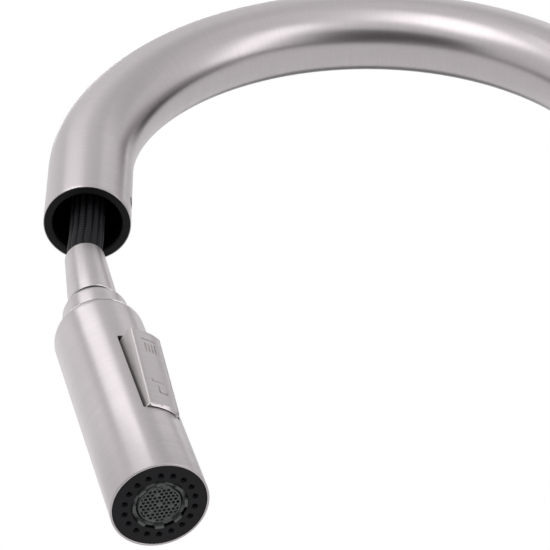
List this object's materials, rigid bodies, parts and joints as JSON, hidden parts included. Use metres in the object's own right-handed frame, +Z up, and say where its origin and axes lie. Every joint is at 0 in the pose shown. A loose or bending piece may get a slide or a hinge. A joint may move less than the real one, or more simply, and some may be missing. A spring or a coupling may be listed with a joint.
{
  "type": "pull-out kitchen faucet",
  "caption": "Single-lever deck faucet with a swivelling tube arch, a pull-out handset on a weighted hose and a ball joint, and a spray and stream rocker.",
  "frame": {"origin": "centre of the faucet body at the top face of the sink deck", "axes": "+Z up along the body axis; the spout reaches toward -Y at its middle position; the lever is on the +X side"},
  "size_m": [0.0904, 0.2554, 0.846],
  "materials": {
    "brushed_stainless": "brushed round the piece, satin",
    "turned_brass": "machined",
    "copper_pipe": "drawn",
    "black_insert_plastic": "moulded, satin",
    "black_face_plastic": "moulded, fine matt",
    "nozzle_silicone": "moulded",
    "grey_aerator_plastic": "moulded",
    "white_acetal": "moulded",
    "red_acetal": "moulded",
    "seal_rubber": "moulded",
    "disc_ceramic": "lapped",
    "braided_hose": "black braid over a rubber tube",
    "pin_steel": "ground",
    "cast_weight": "cast and painted grey"
  },
  "bodies": {
    "faucet_body": {"deck_gasket": "seal_rubber", "base_flange": "brushed_stainless", "body_shell": "brushed_stainless", "valve_block": "turned_brass", "body_cap": "brushed_stainless", "spout_stop_screw": "pin_steel", "threaded_shank": "turned_brass", "clamp_gasket": "seal_rubber", "clamp_washer": "pin_steel", "mounting_nut": "turned_brass", "clamp_screws": "pin_steel", "outlet_pipe": "copper_pipe", "cartridge_body": "white_acetal", "cartridge_seals": "seal_rubber", "fixed_disc": "disc_ceramic", "cartridge_nut": "turned_brass", "cartridge_cover": "brushed_stainless", "hose_in_body": "braided_hose", "hose_loop": "braided_hose", "hose_connector": "turned_brass"},
    "weight": {"counterweight": "cast_weight", "weight_screws": "pin_steel"},
    "spout": {"spout_tube": "brushed_stainless", "spout_foot": "turned_brass", "slide_rings": "white_acetal", "hose_guide": "white_acetal", "dock_insert": "black_insert_plastic", "hose_in_spout": "braided_hose"},
    "hose_run": {"hose_drop": "braided_hose"},
    "nut_link": {"hose_nut": "brushed_stainless", "hose_ferrule": "pin_steel", "hose_nipple": "turned_brass", "swivel_ball": "brushed_stainless"},
    "ball_seat": {"ball_socket": "white_acetal", "ball_seal": "seal_rubber"},
    "handset": {"handset_shell": "brushed_stainless", "waterway_body": "white_acetal", "check_cage": "white_acetal", "poppet_spring": "pin_steel", "rocker_cradle": "black_insert_plastic", "rocker_pin": "pin_steel", "spray_face": "black_face_plastic", "nozzle_mat": "nozzle_silicone", "aerator_ring": "grey_aerator_plastic", "aerator_screen": "grey_aerator_plastic"},
    "rocker": {"spray_rocker": "brushed_stainless"},
    "spool": {"diverter_spool": "turned_brass", "spool_seals": "seal_rubber"},
    "poppet": {"check_poppet": "red_acetal"},
    "turret": {"stem_turret": "black_insert_plastic", "stem_pin": "pin_steel"},
    "lever": {"lever_stem": "pin_steel", "lever_hub": "brushed_stainless", "lever_rod": "brushed_stainless", "lever_screw": "pin_steel"},
    "disc": {"moving_disc": "disc_ceramic", "disc_carrier": "black_insert_plastic"}
  },
  "joints": [
    {"name": "spout_swivel", "type": "hinge", "parent": "faucet_body", "child": "spout", "pos_m": [0, 0, 0.14], "axis": [0, 0, 1], "range_deg": [-60, 60]},
    {"name": "pull_out", "type": "slide", "parent": "spout", "child": "hose_run", "axis": [0, 0, -1], "range_m": [-0.068, 0.06], "deforming": ["hose_drop"]},
    {"name": "hose_sway", "type": "hinge", "parent": "hose_run", "child": "nut_link", "pos_m": [0, -0.2114, 0.287], "axis": [0.9925, -0.1219, 0], "range_deg": [-8.21, 7.25]},
    {"name": "ball_tilt", "type": "hinge", "parent": "nut_link", "child": "ball_seat", "pos_m": [0.0009, -0.20408, 0.23583], "axis": [0.9925, -0.1219, 0], "range_deg": [-5.25, 4.63]},
    {"name": "hand_spin", "type": "hinge", "parent": "ball_seat", "child": "handset", "pos_m": [0.0009, -0.20408, 0.23583], "axis": [-0.0283, -0.2307, 0.9726], "continuous": true},
    {"name": "rocker_tilt", "type": "hinge", "parent": "handset", "child": "rocker", "pos_m": [0.01014, -0.18922, 0.19788], "axis": [0.5761, -0.799, -0.1727], "range_deg": [0, 11.4]},
    {"name": "spool_slide", "type": "slide", "parent": "handset", "child": "spool", "axis": [0.0283, 0.2307, -0.9726], "range_m": [0, 0.00144]},
    {"name": "poppet_lift", "type": "slide", "parent": "handset", "child": "poppet", "axis": [0.0283, 0.2307, -0.9726], "range_m": [0, 0.002], "stiffness_N_per_m": 60, "springref_m": -0.002, "deforming": ["poppet_spring"]},
    {"name": "weight_rise", "type": "slide", "parent": "faucet_body", "child": "weight", "axis": [0, 0, 1], "range_m": [-0.0681, 0.0601], "deforming": ["hose_loop"]},
    {"name": "lever_temp", "type": "hinge", "parent": "faucet_body", "child": "turret", "pos_m": [0, 0, 0.105], "axis": [1, 0, 0], "range_deg": [-50, 50]},
    {"name": "lever_flow", "type": "hinge", "parent": "turret", "child": "lever", "pos_m": [0.03, 0, 0.105], "axis": [0, 1, 0], "range_deg": [0, 25]},
    {"name": "disc_slide", "type": "slide", "parent": "turret", "child": "disc", "axis": [0, 0, 1], "range_m": [0, 0.00346]}
  ],
  "couplings": [
    {"joint": "hose_sway", "follows": "pull_out", "rad_per_m": 2.1047},
    {"joint": "ball_tilt", "follows": "pull_out", "rad_per_m": 1.3449},
    {"joint": "weight_rise", "follows": "pull_out", "ratio": 1},
    {"joint": "spool_slide", "follows": "rocker_tilt", "m_per_rad": 0.0072},
    {"joint": "disc_slide", "follows": "lever_flow", "m_per_rad": 0.0079}
  ]
}
